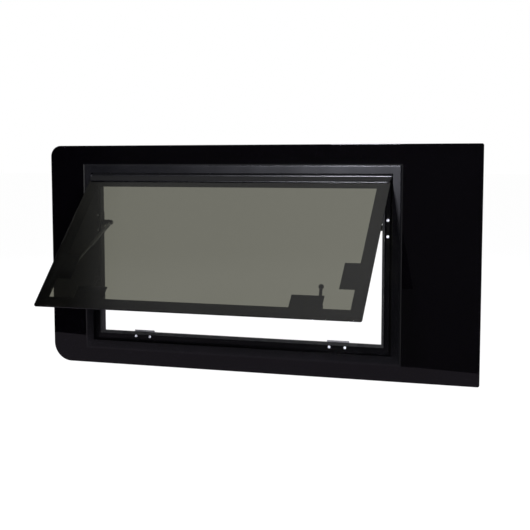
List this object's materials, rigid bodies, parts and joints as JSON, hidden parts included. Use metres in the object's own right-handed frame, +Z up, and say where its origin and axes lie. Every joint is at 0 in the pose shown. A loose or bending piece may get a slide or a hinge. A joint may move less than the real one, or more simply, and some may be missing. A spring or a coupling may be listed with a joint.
{
  "type": "opening side window",
  "caption": "Black glass side window with a framed, top-hung tinted sash held open on two telescopic stays and shut by two lever latches.",
  "frame": {"origin": "on the fixed glass's inner bonding face, at mid width, 15 mm above the glass's bottom edge", "axes": "+X to the right seen from outside, +Y into the vehicle, +Z up; the outside faces -Y"},
  "size_m": [1.28, 0.391, 0.65],
  "materials": {
    "privacy_glass": "black toughened glass, polished",
    "black_aluminium": "black powder coat, satin",
    "bare_aluminium": "mill finish",
    "seal_rubber": "black rubber, matt",
    "black_sealant": "black sealant, matt",
    "tinted_glass": "grey-green tinted toughened glass, polished",
    "black_ceramic": "fired black print behind glass",
    "steel_screws": "zinc-plated, bright",
    "strike_steel": "zinc-plated, dull",
    "bare_steel": "turned steel",
    "polished_rod": "ground and polished",
    "black_steel": "black lacquer, satin",
    "black_plastic": "black moulded nylon, satin"
  },
  "bodies": {
    "frame": {"fixed_glass": "privacy_glass", "frame_bond_bead": "black_sealant", "top_rail": "black_aluminium", "bottom_rail": "black_aluminium", "left_rail": "black_aluminium", "right_rail": "black_aluminium", "corner_cleats": "bare_aluminium", "opening_seal": "seal_rubber", "hinge_strip": "black_aluminium", "hinge_strip_screws": "steel_screws", "left_strike": "strike_steel", "right_strike": "strike_steel", "strike_screws": "steel_screws", "left_stay_bracket": "black_steel", "right_stay_bracket": "black_steel", "stay_bracket_screws": "steel_screws", "left_stay_pin": "bare_steel", "right_stay_pin": "bare_steel"},
    "sash": {"sash_glass": "tinted_glass", "ceramic_border": "black_ceramic", "sash_hinge_profile": "black_aluminium", "hinge_end_caps": "black_plastic", "glazing_bond": "black_sealant", "left_latch_pad": "black_sealant", "right_latch_pad": "black_sealant", "left_latch_base": "black_plastic", "right_latch_base": "black_plastic", "left_anchor_pad": "black_sealant", "right_anchor_pad": "black_sealant", "left_stay_anchor": "black_steel", "right_stay_anchor": "black_steel", "left_anchor_stud": "bare_steel", "right_anchor_stud": "bare_steel"},
    "left_latch": {"left_spindle": "bare_steel", "left_cam": "bare_steel", "left_handle": "black_plastic", "left_knob": "black_plastic", "left_handle_cap": "black_plastic"},
    "left_stay_cylinder": {"left_stay_tube": "black_steel", "left_frame_eye": "black_plastic", "left_rod_guide": "black_plastic"},
    "left_stay_plunger": {"left_stay_rod": "polished_rod", "left_piston": "bare_steel", "left_sash_eye": "black_plastic"},
    "right_latch": {"right_spindle": "bare_steel", "right_cam": "bare_steel", "right_handle": "black_plastic", "right_knob": "black_plastic", "right_handle_cap": "black_plastic"},
    "right_stay_cylinder": {"right_stay_tube": "black_steel", "right_frame_eye": "black_plastic", "right_rod_guide": "black_plastic"},
    "right_stay_plunger": {"right_stay_rod": "polished_rod", "right_piston": "bare_steel", "right_sash_eye": "black_plastic"}
  },
  "joints": [
    {"name": "sash_hinge", "type": "hinge", "parent": "frame", "child": "sash", "pos_m": [-0.052, -0.009, 0.547], "axis": [1, 0, 0], "range_deg": [0, 45.2]},
    {"name": "left_latch_turn", "type": "hinge", "parent": "sash", "child": "left_latch", "pos_m": [-0.3775, -0.30214, 0.23195], "axis": [0, 0.7046, -0.7096], "range_deg": [0, 83]},
    {"name": "left_stay_swing", "type": "hinge", "parent": "frame", "child": "left_stay_cylinder", "pos_m": [-0.4597, 0.027, 0.406], "axis": [1, 0, 0], "range_deg": [0, 61]},
    {"name": "left_stay_slide", "type": "slide", "parent": "left_stay_cylinder", "child": "left_stay_plunger", "axis": [0, -0.9085, -0.4178], "range_m": [-0.0858, 0]},
    {"name": "right_latch_turn", "type": "hinge", "parent": "sash", "child": "right_latch", "pos_m": [0.2735, -0.30214, 0.23195], "axis": [0, -0.7046, 0.7096], "range_deg": [0, 83]},
    {"name": "right_stay_swing", "type": "hinge", "parent": "frame", "child": "right_stay_cylinder", "pos_m": [0.3557, 0.027, 0.406], "axis": [1, 0, 0], "range_deg": [0, 61]},
    {"name": "right_stay_slide", "type": "slide", "parent": "right_stay_cylinder", "child": "right_stay_plunger", "axis": [0, -0.9085, -0.4178], "range_m": [-0.0858, 0]}
  ],
  "couplings": [
    {"joint": "left_stay_swing", "follows": "sash_hinge", "ratio": 1.3399},
    {"joint": "left_stay_slide", "follows": "sash_hinge", "m_per_rad": -0.10854},
    {"joint": "right_stay_swing", "follows": "sash_hinge", "ratio": 1.3399},
    {"joint": "right_stay_slide", "follows": "sash_hinge", "m_per_rad": -0.10854}
  ]
}
